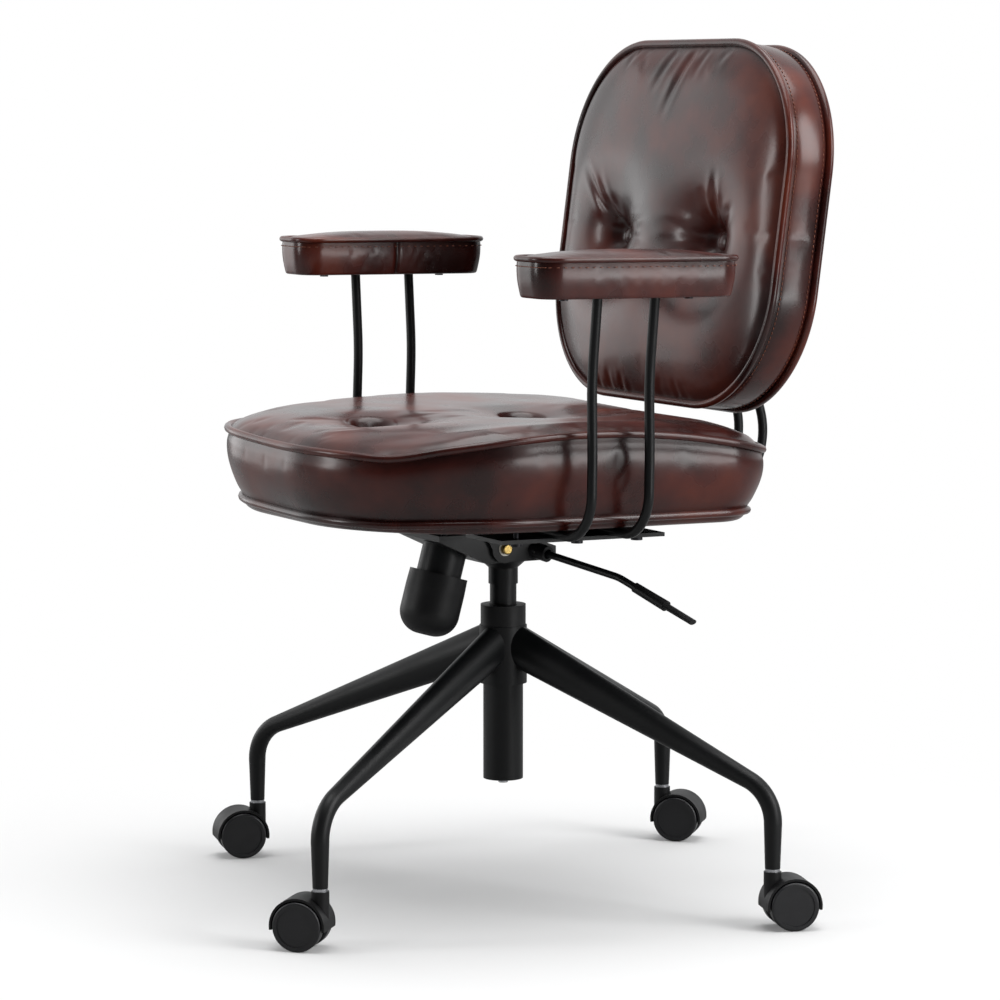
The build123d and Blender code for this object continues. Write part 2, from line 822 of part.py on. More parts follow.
def seat_bolts():
    bottom = seat_under - plate_thickness
    bolt = screw(screw_diameter, screw_head_diameter, screw_head_height, plate_thickness + screw_bite)
    return raked(Compound([Pos(x, y, bottom) * bolt for x, y in plate_bolts()]))


def frame_bolts():
    bottom = frame_plate_top - plate_thickness
    length = seat_under + screw_bite - bottom
    bolt = screw(screw_diameter, screw_head_diameter, screw_head_height, length)
    return raked(Compound([Pos(x, y, bottom) * bolt for x, y in frame_bolt_places()]))


def frame_plate(low_x, high_x, low_y, high_y):
    # A flat foot welded under the rails and bolted to the seat board
    centre = Pos((low_x + high_x) / 2, (low_y + high_y) / 2, frame_plate_top - plate_thickness)
    shape = centre * Box(high_x - low_x, high_y - low_y, plate_thickness, align=UP)
    for x, y in frame_bolt_places():
        shape -= Pos(x, y, 0) * disc(screw_diameter / 2, frame_plate_top - plate_thickness, frame_plate_top)
    return shape


# Armrests

def arm_rail(side, y):
    points = [(side * arm_rail_top_x, y, arm_top + arm_bar_thickness / 2),
              (side * arm_rail_waist_x, y, seat_under + arm_rail_waist_rise),
              (side * arm_rail_hip_x, y, seat_under + arm_rail_hip_rise),
              (side * arm_rail_hip_x, y, rail_z),
              (side * arm_rail_inner_x, y, rail_z)]
    radii = (arm_rail_sway_radius, arm_rail_sway_radius, arm_rail_bend_radius)
    return bent_rod(points, radii, rail_diameter)


def arm_bar(side, gap):
    centre = Pos(side * arm_rail_top_x, arm_mid_y, arm_top)
    return centre * Box(arm_bar_width + 2 * gap, arm_bar_length + 2 * gap, arm_bar_thickness, align=UP)


def pad_screw_places(side):
    return [Pos(side * arm_rail_top_x, arm_mid_y + end * pad_screw_spread / 2, arm_top) for end in (-1, 1)]


def arm_frame(side):
    low_y = min(arm_rail_ys) - arm_plate_margin
    high_y = max(arm_rail_ys) + arm_plate_margin
    ends = sorted((side * arm_plate_inner_x, side * arm_plate_outer_x))
    shape = frame_plate(ends[0], ends[1], low_y, high_y)
    bar = arm_bar(side, 0)
    for place in pad_screw_places(side):
        bar -= place * disc(small_screw_diameter / 2, 0, arm_bar_thickness)
    shape += bar
    for y in arm_rail_ys:
        shape += arm_rail(side, y)
    return raked(shape)


def arm_pad(side):
    sides = ((pad_foot_inset, 0), (0, pad_foot_height), (-pad_bulge, pad_height / 2), (0, pad_height))
    shape = Pos(side * arm_rail_top_x, 0, arm_top) * soft_form(pad_form, sides, pad_height, pad_crown)
    shape -= arm_bar(side, face_gap)
    for place in pad_screw_places(side):
        shape -= place * disc(small_screw_diameter / 2, 0, small_screw_bite)
    return raked(shape)


def arm_pad_screws():
    one = screw(small_screw_diameter, small_screw_head_diameter, small_screw_head_height, small_screw_bite)
    return raked(Compound([place * one for side in (-1, 1) for place in pad_screw_places(side)]))


# Back

back_rear = -back_boxing - back_rear_crown


def back_cushion():
    sides = ((back_rear_inset, back_rear), (0, -back_boxing), (-back_bulge, -back_boxing / 2), (0, 0))
    shape = soft_form(back_form, sides, 0, back_crown)
    shape -= extrude(plan_level(back_form, -face_gap, back_board_scale, back_rear), back_board_thickness)
    for place in back_tuft_places():
        shape -= place * tuft(back_tuft_radius, button_diameter / 2 + face_gap, back_tuft_depth)
    return on_back(shape)


def back_tuft_places():
    rise = crown_rise(back_crown, crown_share(back_form, back_tuft_x, back_tuft_height))
    return [Pos(x, back_tuft_height, rise) for x in (-back_tuft_x, back_tuft_x)]


def back_buttons():
    button = disc(button_diameter / 2, 0, button_height)
    button = fillet(button.edges().group_by(Axis.Z)[-1], button_dome)
    return on_back(Compound([place * Pos(0, 0, -back_tuft_depth) * button for place in back_tuft_places()]))


def bracket_screw_places():
    xs = (bracket_screw_inset - bracket_half_width, bracket_half_width - bracket_screw_inset)
    ys = (bracket_bottom + bracket_screw_inset, bracket_top - bracket_screw_inset)
    return [Pos(x, y, back_rear - bracket_thickness) for x in xs for y in ys]


def back_board():
    shape = extrude(plan_level(back_form, 0, back_board_scale, back_rear), back_board_thickness)
    for place in bracket_screw_places():
        shape -= place * disc(small_screw_diameter / 2, 0, bracket_thickness + screw_bite)
    return on_back(shape)


def back_screws():
    one = screw(small_screw_diameter, small_screw_head_diameter, small_screw_head_height,
                bracket_thickness + screw_bite)
    return on_back(Compound([place * one for place in bracket_screw_places()]))


def back_rail(side):
    # From under the seat, round behind it and up to lie along the back
    lean = radians(back_lean)
    off = -back_rear + bracket_thickness + rail_diameter / 2 - weld_sink
    points = [(side * back_rail_x, back_rail_start_y, rail_z), (side * back_rail_x, back_rail_corner_y, rail_z)]
    for height in (back_rail_knee_height, back_rail_top_height):
        y = back_front_y + height * sin(lean) + off * cos(lean)
        z = seat_under + back_bottom_rise + height * cos(lean) - off * sin(lean)
        points.append((side * back_rail_x, y, z))
    return raked(bent_rod(points, (back_rail_bend_radius, back_rail_knee_radius), rail_diameter))


def back_frame():
    width = 2 * bracket_half_width
    height = bracket_top - bracket_bottom
    middle = Pos(0, (bracket_bottom + bracket_top) / 2, back_rear - bracket_thickness)
    bracket = middle * extrude(RectangleRounded(width, height, bracket_corner), bracket_thickness)
    for place in bracket_screw_places():
        bracket -= place * disc(small_screw_diameter / 2, 0, bracket_thickness)
    foot = frame_plate(-back_foot_half_width, back_foot_half_width, back_rail_start_y, back_foot_end_y)
    return on_back(bracket) + raked(foot) + back_rail(-1) + back_rail(1)


# All pieces

def all_parts():
    parts = {"base_hub": base_hub(), "caster_sockets": caster_sockets()}
    for number in range(leg_count):
        name = f"caster_{number + 1}"
        parts[f"leg_{number + 1}"] = leg(number)
        parts[f"{name}_stem"] = at_caster(number, caster_stem())
        parts[f"{name}_hood"] = at_caster(number, caster_hood())
        parts[f"{name}_axle"] = at_caster(number, caster_axle())
        parts[f"{name}_left_wheel"] = at_caster(number, caster_wheel(-1))
        parts[f"{name}_right_wheel"] = at_caster(number, caster_wheel(1))
    for side, word in ((1, "left"), (-1, "right")):
        parts[f"arm_frame_{word}"] = arm_frame(side)
        parts[f"arm_pad_{word}"] = arm_pad(side)
    single = (column_tube, column_guide_bush, column_collar, thrust_bearing, piston_rod, column_clip,
              gas_cylinder, release_pin, mechanism_housing, tilt_pivot_pin, pivot_bushes, seat_plate,
              tension_bolt, tension_spring, tension_knob, spring_sleeve, lever_rod, lever_grip, lever_bush,
              lever_pin, seat_board, seat_cushion, seat_bolts, frame_bolts, arm_pad_screws, back_frame,
              back_board, back_cushion, back_buttons, back_screws)
    for make in single:
        parts[make.__name__] = make()
    return parts


os.makedirs("parts", exist_ok=True)
for name, shape in all_parts().items():
    export_step(shape, f"parts/{name}.step")
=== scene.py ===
# Leather office chair: upholstery, piping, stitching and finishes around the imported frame
import json
from math import cos, pi, radians, sin

import bpy
import numpy as np
from mathutils import Matrix, Vector


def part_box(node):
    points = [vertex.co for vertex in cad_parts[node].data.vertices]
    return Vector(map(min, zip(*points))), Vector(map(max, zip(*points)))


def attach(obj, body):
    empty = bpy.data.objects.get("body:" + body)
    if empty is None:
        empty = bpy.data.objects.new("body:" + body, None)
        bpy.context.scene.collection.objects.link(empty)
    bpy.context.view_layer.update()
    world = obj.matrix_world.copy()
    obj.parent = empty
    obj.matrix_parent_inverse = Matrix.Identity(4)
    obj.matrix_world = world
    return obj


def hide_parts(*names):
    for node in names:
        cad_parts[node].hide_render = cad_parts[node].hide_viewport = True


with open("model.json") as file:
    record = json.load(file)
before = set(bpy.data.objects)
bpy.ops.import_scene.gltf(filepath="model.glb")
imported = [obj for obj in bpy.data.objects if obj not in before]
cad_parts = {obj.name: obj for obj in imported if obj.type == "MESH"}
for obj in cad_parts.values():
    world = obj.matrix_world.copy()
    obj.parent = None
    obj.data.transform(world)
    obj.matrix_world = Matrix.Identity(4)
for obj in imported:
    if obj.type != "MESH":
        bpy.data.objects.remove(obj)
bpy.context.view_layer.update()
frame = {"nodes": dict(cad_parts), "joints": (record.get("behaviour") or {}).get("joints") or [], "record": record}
nodes = frame["nodes"]
scene = bpy.context.scene
print("frame loaded:", len(nodes), "nodes")

mm = 0.001


# Small tools

def hexColor(code):
    # sRGB hex to the linear colour that a shader takes
    channels = [int(code[i:i + 2], 16) / 255 for i in (1, 3, 5)]
    linear = [c / 12.92 if c <= 0.04045 else ((c + 0.055) / 1.055) ** 2.4 for c in channels]
    return (*linear, 1.0)


def addNode(tree, kind, inputs=None, **settings):
    node = tree.nodes.new(kind)
    for key, value in settings.items():
        setattr(node, key, value)
    for key, value in (inputs or {}).items():
        if isinstance(value, bpy.types.NodeSocket):
            tree.links.new(value, node.inputs[key])
        else:
            node.inputs[key].default_value = value
    return node


def newMaterial(name):
    material = bpy.data.materials.new(name)
    material.use_nodes = True
    tree = material.node_tree
    tree.nodes.clear()
    output = addNode(tree, "ShaderNodeOutputMaterial")
    shader = addNode(tree, "ShaderNodeBsdfPrincipled")
    tree.links.new(shader.outputs["BSDF"], output.inputs["Surface"])
    place = addNode(tree, "ShaderNodeTexCoord").outputs["Object"]
    return material, tree, shader, place


def perMetre(size):
    # Texture scale whose features are about this many millimetres across
    return 1 / (size * mm)


def dress(piece, material):
    piece.data.materials.clear()
    piece.data.materials.append(material)


def coords(piece):
    flat = np.zeros(len(piece.data.vertices) * 3)
    piece.data.vertices.foreach_get("co", flat)
    return flat.reshape(-1, 3)


def setCoords(piece, points):
    piece.data.vertices.foreach_set("co", np.asarray(points, float).ravel())
    piece.data.update()


def moved(matrix, points):
    grid = np.array(matrix)
    return points @ grid[:3, :3].T + grid[:3, 3]


def pickOnly(piece):
    bpy.ops.object.select_all(action="DESELECT")
    piece.select_set(True)
    bpy.context.view_layer.objects.active = piece


def applyModifier(piece, kind, **settings):
    pickOnly(piece)
    modifier = piece.modifiers.new(kind.lower(), kind)
    for key, value in settings.items():
        setattr(modifier, key, value)
    bpy.ops.object.modifier_apply(modifier=modifier.name)


def ease(t):
    t = np.clip(t, 0, 1)
    return t * t * (3 - 2 * t)


# Finishes

waxedLeather = {
    # The fourth colour is the painted shade's, mixed in along seams, at joins and round tufts
    "deep": "#210a08", "body": "#411610", "chestnut": "#582213", "shadeTone": "#150606",
    "mottle": 120.0, "stain": 55.0, "grain": 2.2, "pore": 0.9,
    "roughness": (0.25, 0.32), "grainDepth": 0.05,
}


def makeLeather(name, spec, extraShade=0.0):
    # Waxed pull-up leather in random patches from dark to chestnut, with a close polished grain;
    # painted shade from a point attribute darkens it along seams, at joins and round tufts
    material, tree, shader, place = newMaterial(name)
    mottle = addNode(tree, "ShaderNodeTexNoise", {
        "Vector": place, "Scale": perMetre(spec["mottle"]), "Detail": 2.5, "Roughness": 0.5})
    stain = addNode(tree, "ShaderNodeTexNoise", {
        "Vector": place, "Scale": perMetre(spec["stain"]), "Detail": 3.0, "Roughness": 0.5})
    tone = addNode(tree, "ShaderNodeMath", {
        0: mottle.outputs["Fac"], 1: stain.outputs["Fac"]}, operation="MULTIPLY")
    ramp = addNode(tree, "ShaderNodeValToRGB", {"Fac": tone.outputs["Value"]})
    ramp.color_ramp.elements[0].position = 0.14
    ramp.color_ramp.elements[0].color = hexColor(spec["deep"])
    ramp.color_ramp.elements[1].position = 0.42
    ramp.color_ramp.elements[1].color = hexColor(spec["chestnut"])
    middle = ramp.color_ramp.elements.new(0.26)
    middle.color = hexColor(spec["body"])
    # Painted shade: the stored point amount, plus a flat extra amount, mixes the leather towards the shade colour
    painted_shade = addNode(tree, "ShaderNodeAttribute", attribute_name="painted_shade")
    shade = addNode(tree, "ShaderNodeMath", {
        0: painted_shade.outputs["Fac"], 1: extraShade}, operation="ADD", use_clamp=True)
    color = addNode(tree, "ShaderNodeMix", {
        "Factor": shade.outputs["Value"], "A": ramp.outputs["Color"],
        "B": hexColor(spec["shadeTone"])}, data_type="RGBA")
    tree.links.new(color.outputs[2], shader.inputs["Base Color"])
    low, high = spec["roughness"]
    polish = addNode(tree, "ShaderNodeMapRange", {
        "Value": stain.outputs["Fac"], "From Min": 0.3, "From Max": 0.7, "To Min": low, "To Max": high})
    tree.links.new(polish.outputs["Result"], shader.inputs["Roughness"])
    # Real pores are near 0.4 mm: drawn coarser so that they show
    grain = addNode(tree, "ShaderNodeTexVoronoi", {
        "Vector": place, "Scale": perMetre(spec["grain"]), "Randomness": 1.0}, feature="SMOOTH_F1")
    pore = addNode(tree, "ShaderNodeTexNoise", {
        "Vector": place, "Scale": perMetre(spec["pore"]), "Detail": 3.0})
    height = addNode(tree, "ShaderNodeMath", {
        0: grain.outputs["Distance"], 1: pore.outputs["Fac"]}, operation="ADD")
    bump = addNode(tree, "ShaderNodeBump", {
        "Height": height.outputs["Value"], "Strength": spec["grainDepth"], "Distance": 0.4 * mm})
    tree.links.new(bump.outputs["Normal"], shader.inputs["Normal"])
    shader.inputs["IOR"].default_value = 1.46
    shader.inputs["Specular IOR Level"].default_value = 0.32
    shader.inputs["Coat Weight"].default_value = 0.18
    shader.inputs["Coat Roughness"].default_value = 0.17
    return material


powderCoat = {"body": "#0b0c0d", "light": "#111213", "peel": 1.6, "patch": 60.0,
              "roughness": (0.36, 0.48), "shine": 0.22}
mouldedNylon = {"body": "#0c0c0d", "light": "#141415", "peel": 0.8, "patch": 25.0,
                "roughness": (0.42, 0.56), "shine": 0.22}
wheelNylon = {"body": "#101012", "light": "#18181b", "peel": 1.0, "patch": 14.0,
              "roughness": (0.34, 0.46), "shine": 0.45}
acetal = {"body": "#b9b6ab", "light": "#cbc8be", "peel": 1.2, "patch": 20.0,
          "roughness": (0.35, 0.45), "shine": 0.5}


def makeCoating(name, spec):
    # A coat or moulding with a fine peel in its surface and slight patches in its sheen
    material, tree, shader, place = newMaterial(name)
    patch = addNode(tree, "ShaderNodeTexNoise", {
        "Vector": place, "Scale": perMetre(spec["patch"]), "Detail": 3.0})
    color = addNode(tree, "ShaderNodeMix", {
        "Factor": patch.outputs["Fac"], "A": hexColor(spec["body"]),
        "B": hexColor(spec["light"])}, data_type="RGBA")
    tree.links.new(color.outputs[2], shader.inputs["Base Color"])
    low, high = spec["roughness"]
    sheen = addNode(tree, "ShaderNodeMapRange", {
        "Value": patch.outputs["Fac"], "From Min": 0.3, "From Max": 0.7, "To Min": low, "To Max": high})
    tree.links.new(sheen.outputs["Result"], shader.inputs["Roughness"])
    peel = addNode(tree, "ShaderNodeTexNoise", {
        "Vector": place, "Scale": perMetre(spec["peel"]), "Detail": 2.0})
    bump = addNode(tree, "ShaderNodeBump", {
        "Height": peel.outputs["Fac"], "Strength": 0.12, "Distance": 0.2 * mm})
    tree.links.new(bump.outputs["Normal"], shader.inputs["Normal"])
    shader.inputs["Specular IOR Level"].default_value = spec["shine"]
    return material


turnedSteel = {"body": "#b4b5b8", "worn": "#8d8e92", "line": 0.7, "roughness": (0.2, 0.34)}
blackenedSteel = {"body": "#2a2a2c", "worn": "#3a3a3d", "line": 1.0, "roughness": (0.34, 0.46)}
yellowZinc = {"body": "#a08a52", "worn": "#7d673d", "line": 1.5, "roughness": (0.24, 0.36)}


def makeMetal(name, spec):
    # Turned or plated steel: fine rings left by the tool and a patchy shine
    material, tree, shader, place = newMaterial(name)
    rings = addNode(tree, "ShaderNodeTexNoise", {
        "Vector": place, "Scale": perMetre(spec["line"]), "Detail": 2.0})
    patch = addNode(tree, "ShaderNodeTexNoise", {"Vector": place, "Scale": perMetre(9.0), "Detail": 3.0})
    color = addNode(tree, "ShaderNodeMix", {
        "Factor": patch.outputs["Fac"], "A": hexColor(spec["body"]),
        "B": hexColor(spec["worn"])}, data_type="RGBA")
    tree.links.new(color.outputs[2], shader.inputs["Base Color"])
    low, high = spec["roughness"]
    shine = addNode(tree, "ShaderNodeMapRange", {
        "Value": rings.outputs["Fac"], "From Min": 0.3, "From Max": 0.7, "To Min": low, "To Max": high})
    tree.links.new(shine.outputs["Result"], shader.inputs["Roughness"])
    shader.inputs["Metallic"].default_value = 1.0
    return material


dustCover = {"body": "#17171a", "fibre": "#26262a", "cell": 1.8}


def makeDustCover(name, spec):
    # Spunbond cloth stapled under the seat: matt, with a dimpled bond pattern
    material, tree, shader, place = newMaterial(name)
    cells = addNode(tree, "ShaderNodeTexVoronoi", {
        "Vector": place, "Scale": perMetre(spec["cell"]), "Randomness": 0.25})
    fibre = addNode(tree, "ShaderNodeTexNoise", {"Vector": place, "Scale": perMetre(0.8), "Detail": 4.0})
    color = addNode(tree, "ShaderNodeMix", {
        "Factor": fibre.outputs["Fac"], "A": hexColor(spec["body"]),
        "B": hexColor(spec["fibre"])}, data_type="RGBA")
    tree.links.new(color.outputs[2], shader.inputs["Base Color"])
    bump = addNode(tree, "ShaderNodeBump", {
        "Height": cells.outputs["Distance"], "Strength": 0.35, "Distance": 0.3 * mm})
    tree.links.new(bump.outputs["Normal"], shader.inputs["Normal"])
    shader.inputs["Roughness"].default_value = 0.88
    return material


thread = {"body": "#5d2e1c", "light": "#7a4128", "ply": 0.6}


def makeThread(name, spec):
    # Bonded polyester thread with its plies showing as light and dark
    material, tree, shader, place = newMaterial(name)
    ply = addNode(tree, "ShaderNodeTexNoise", {"Vector": place, "Scale": perMetre(spec["ply"]), "Detail": 2.0})
    color = addNode(tree, "ShaderNodeMix", {
        "Factor": ply.outputs["Fac"], "A": hexColor(spec["body"]),
        "B": hexColor(spec["light"])}, data_type="RGBA")
    tree.links.new(color.outputs[2], shader.inputs["Base Color"])
    shader.inputs["Roughness"].default_value = 0.55
    return material


leather = makeLeather("waxed_leather", waxedLeather)
# Piping: a copy of the leather with painted shade added evenly all over
pipingLeather = makeLeather("waxed_leather_piping", waxedLeather, extraShade=0.12)
threadFinish = makeThread("bonded_thread", thread)
finishes = {
    "powder_coat": makeCoating("satin_powder_coat", powderCoat),
    "black_plastic": makeCoating("moulded_nylon", mouldedNylon),
    "wheel_plastic": makeCoating("wheel_nylon", wheelNylon),
    "bush_plastic": makeCoating("acetal", acetal),
    "steel": makeMetal("turned_steel", turnedSteel),
    "dark_steel": makeMetal("blackened_steel", blackenedSteel),
    "pivot_steel": makeMetal("yellow_zinc_steel", yellowZinc),
    "plywood": makeDustCover("spunbond_dust_cover", dustCover),
    "leather": leather,
}
for row in frame["record"]["subparts"]:
    dress(nodes[row["node"]], finishes[row["material_slot"]])
dress(nodes["lever_bush"], finishes["black_plastic"])  # the only bush that shows, and it shows dark
print("finishes on", len(nodes), "frame nodes")


# Places that the upholstery hangs on

tiltJoint = next(j for j in frame["joints"] if j["name"] == "tilt")
tiltPivot = Vector(tiltJoint["pos_m"])
seatRake = radians(0.7)
seatFrame = (Matrix.Translation(tiltPivot) @ Matrix.Rotation(-seatRake, 4, "X")
             @ Matrix.Translation(-tiltPivot))


# Upholstery outlines: a rounded plan with its own corners at the low and the high end

def inset(form, by):
    return {"half": form["half"] - by, "low": form["low"] + by, "high": form["high"] - by,
            "lowCorner": form["lowCorner"] - by, "highCorner": form["highCorner"] - by}


def outline(form, u, v):
    # The plan's edge where a square's edge point (u, v) maps to, corner middle to corner middle
    half, low, high = form["half"], form["low"], form["high"]
    lowR, highR = form["lowCorner"], form["highCorner"]
    starts = [(-half + lowR, low + lowR, lowR, -135), (half - lowR, low + lowR, lowR, -45),
              (half - highR, high - highR, highR, 45), (-half + highR, high - highR, highR, 135)]
    side = np.where(np.abs(v) >= np.abs(u), np.where(v < 0, 0, 2), np.where(u > 0, 1, 3))
    share = np.choose(side, [(u + 1) / 2, (v + 1) / 2, (1 - u) / 2, (1 - v) / 2])
    points = np.zeros((len(u), 2))
    for number in range(4):
        here = side == number
        x0, y0, r0, a0 = starts[number]
        x1, y1, r1, _ = starts[(number + 1) % 4]
        angle = radians(a0 + 45)
        first = np.array([x0 + r0 * cos(angle), y0 + r0 * sin(angle)])
        last = np.array([x1 + r1 * cos(angle), y1 + r1 * sin(angle)])
        arcs = (r0 * pi / 4, np.linalg.norm(last - first), r1 * pi / 4)
        along = share[here] * sum(arcs)
        turnIn = radians(a0) + np.clip(along / arcs[0], 0, 1) * pi / 4
        turnOut = angle + np.clip((along - arcs[0] - arcs[1]) / arcs[2], 0, 1) * pi / 4
        line = first + np.clip((along - arcs[0]) / max(arcs[1], 1e-9), 0, 1)[:, None] * (last - first)
        start = np.c_[x0 + r0 * np.cos(turnIn), y0 + r0 * np.sin(turnIn)]
        end = np.c_[x1 + r1 * np.cos(turnOut), y1 + r1 * np.sin(turnOut)]
        points[here] = np.where((along < arcs[0])[:, None], start,
                                np.where((along > arcs[0] + arcs[1])[:, None], end, line))
    return points


def edgeDistance(form, x, y):
    # How far inside the plan's edge a point lies
    middle = (form["low"] + form["high"]) / 2
    reach = (form["high"] - form["low"]) / 2
    corner = np.where(y < middle, form["lowCorner"], form["highCorner"])
    qx = np.abs(x) - form["half"] + corner
    qy = np.abs(y - middle) - reach + corner
    outside = np.hypot(np.maximum(qx, 0), np.maximum(qy, 0))
    return corner - outside - np.minimum(np.maximum(qx, qy), 0)


def panelGrid(name, across, along, rings):
    # A flat panel with the rings of its boxing drawn out of its edge, open underneath
    bpy.ops.object.select_all(action="DESELECT")
    bpy.ops.mesh.primitive_grid_add(x_subdivisions=across, y_subdivisions=along, size=2)
    piece = bpy.context.active_object
    piece.name = name
    bpy.ops.object.mode_set(mode="EDIT")
    bpy.ops.mesh.select_mode(type="EDGE")
    bpy.ops.mesh.select_all(action="DESELECT")
    bpy.ops.mesh.select_non_manifold()
    for _ in range(rings):
        bpy.ops.mesh.extrude_region_move(TRANSFORM_OT_translate={"value": (0, 0, -1)})
    bpy.ops.object.mode_set(mode="OBJECT")
    return piece


seamValley = 20 * mm  # how far from a seam the panel is still drawn down towards the piping


def shapePanel(piece, form, crown, power, roll, sides):
    # Lay the grid over its plan: a panel that rolls over at its seam, then boxing through (inset, height) rings
    flat = coords(piece)
    u, v = flat[:, 0], flat[:, 1]
    level = np.rint(-flat[:, 2]).astype(int)
    square = np.maximum(np.abs(u), np.abs(v))
    safe = np.maximum(square, 1e-6)
    share = 1 - (1 - np.minimum(square, 1)) ** 1.25  # closer rows towards the seam
    centre = np.array([0, (form["low"] + form["high"]) / 2])
    edge = outline(form, u / safe, v / safe)
    local = np.zeros_like(flat)
    local[:, :2] = centre + share[:, None] * (edge - centre)
    inner = edgeDistance(form, local[:, 0], local[:, 1])
    local[:, 2] = crown * np.maximum(1 - share ** power, 0) ** roll * ease(0.35 + inner / seamValley)
    for number, (by, height) in enumerate(sides, 1):
        ring = level == number
        local[ring, :2] = outline(inset(form, by), u[ring], v[ring])
        local[ring, 2] = height
    return local, level, share


def puff(piece, pinned, spec):
    # Swell the cover with air inside it, held at its seams and tufts
    start = coords(piece)
    group = piece.vertex_groups.new(name="sewn")
    group.add(np.flatnonzero(pinned).tolist(), 1.0, "REPLACE")
    cloth = piece.modifiers.new("cloth", "CLOTH")
    settings = cloth.settings
    settings.quality = spec["quality"]
    settings.mass = 0.3
    settings.tension_stiffness = spec["stiffness"]
    settings.compression_stiffness = spec["stiffness"]
    settings.shear_stiffness = spec["stiffness"] / 3
    settings.bending_stiffness = spec["bending"]
    settings.vertex_group_mass = "sewn"
    settings.use_pressure = True
    settings.uniform_pressure_force = spec["pressure"]
    settings.shrink_min = -spec["spare"]
    settings.effector_weights.gravity = 0.0
    cloth.collision_settings.use_collision = False
    cloth.point_cache.frame_start = 1
    cloth.point_cache.frame_end = spec["frames"]
    for number in range(1, spec["frames"] + 1):
        scene.frame_set(number)
    swollen = np.zeros(len(start) * 3)
    piece.evaluated_get(bpy.context.evaluated_depsgraph_get()).data.vertices.foreach_get("co", swollen)
    piece.modifiers.remove(cloth)
    piece.vertex_groups.remove(group)
    scene.frame_set(1)
    move = swollen.reshape(-1, 3) - start
    length = np.maximum(np.linalg.norm(move, axis=1), 1e-9)
    setCoords(piece, start + move * np.minimum(1, spec["cap"] / length)[:, None])
    print(piece.name, "swelled by up to", round(float(length.max() / mm), 1), "mm")


air = {"pressure": 4.0, "stiffness": 24.0, "bending": 4.0, "spare": 0.001,
       "quality": 5, "frames": 20, "cap": 2.2 * mm}


def crease(local, where, start, end, depth, width, rise):
    # A fold pressed into a panel along a line and at its full depth from the share called rise on
    a, b = np.array(start), np.array(end)
    run = b - a
    t = np.clip(((local[:, :2] - a) @ run) / (run @ run), 0, 1)
    off = np.linalg.norm(local[:, :2] - a - t[:, None] * run, axis=1) / width
    fade = ease((1 - t) / 0.6) * ease(t / rise)
    profile = -np.exp(-off ** 2) + 0.45 * np.exp(-(off - 2.0) ** 2)
    local[where, 2] += (depth * fade * profile)[where]


# Painted shade, stored on the points for the leather to darken by
def storePaintedShade(piece, values):
    layer = piece.data.attributes.new("painted_shade", "FLOAT", "POINT")
    layer.data.foreach_set("value", np.clip(values, 0, 1).astype(np.float32))


def outward(row, place):
    # Which way a boxing faces at each point of a row that runs round it
    ahead = np.roll(row, -1, axis=0) - np.roll(row, 1, axis=0)
    return np.c_[ahead[:, 1], -ahead[:, 0], np.zeros(len(row))] @ np.array(place.to_3x3()).T


def seamTube(name, loop, radius, body):
    # Piping: the seam's own loop of points, drawn as a closed cord and made a mesh
    curve = bpy.data.curves.new(name, "CURVE")
    curve.dimensions = "3D"
    spline = curve.splines.new("NURBS")
    spline.points.add(len(loop) - 1)
    spline.points.foreach_set("co", np.c_[loop, np.ones(len(loop))].ravel())
    spline.use_cyclic_u = True
    spline.order_u = 3
    curve.bevel_depth = radius
    curve.bevel_resolution = 3
    curve.resolution_u = 2
    cord = bpy.data.objects.new(name, curve)
    scene.collection.objects.link(cord)
    pickOnly(cord)
    bpy.ops.object.convert(target="MESH")
    cord = bpy.context.active_object
    bpy.ops.object.shade_smooth()
    dress(cord, pipingLeather)
    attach(cord, body)


def loopOrder(form, by, count):
    # Points round a plan's edge, in order
    t = np.arange(count) / count * 4
    side = t.astype(int)
    f = (t - side) * 2 - 1
    one = np.ones(count)
    u = np.choose(side, [f, one, -f, -one])
    v = np.choose(side, [-one, f, one, -f])
    return outline(inset(form, by), u, v)


def stitchRow(name, points, normals, body):
    # Thread showing between its holes, one short stitch at each point along the row
    bpy.ops.object.select_all(action="DESELECT")
    bpy.ops.mesh.primitive_uv_sphere_add(segments=6, ring_count=4, radius=1)
    one = bpy.context.active_object
    shape = coords(one) * np.array([stitch["length"] / 2, stitch["width"] / 2, stitch["height"]])
    faces = [list(p.vertices) for p in one.data.polygons]
    bpy.data.objects.remove(one)
    ahead = np.roll(points, -1, axis=0) - points
    allPoints, allFaces = [], []
    for point, normal, run in zip(points, normals, ahead):
        x = run / np.linalg.norm(run)
        z = normal - x * (normal @ x)
        z /= np.linalg.norm(z)
        allFaces += [[i + len(allPoints) * len(shape) for i in f] for f in faces]
        allPoints.append(shape @ np.array([x, np.cross(z, x), z]) + point)
    mesh = bpy.data.meshes.new(name)
    mesh.from_pydata(np.concatenate(allPoints).tolist(), [], allFaces)
    row = bpy.data.objects.new(name, mesh)
    scene.collection.objects.link(row)
    pickOnly(row)
    bpy.ops.object.shade_smooth()
    dress(row, threadFinish)
    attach(row, body)


stitch = {"length": 4.0 * mm, "width": 1.0 * mm, "height": 0.5 * mm}


def finishPanel(piece, body):
    # Close it underneath, where a board or bar covers it, and hand it to its body
    pickOnly(piece)
    bpy.ops.object.mode_set(mode="EDIT")
    bpy.ops.mesh.select_mode(type="EDGE")
    bpy.ops.mesh.select_all(action="DESELECT")
    bpy.ops.mesh.select_non_manifold()
    bpy.ops.mesh.edge_face_add()
    bpy.ops.mesh.select_all(action="SELECT")
    bpy.ops.mesh.normals_make_consistent(inside=False)
    bpy.ops.object.mode_set(mode="OBJECT")
    bpy.ops.object.shade_smooth()
    dress(piece, leather)
    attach(piece, body)


# Seat

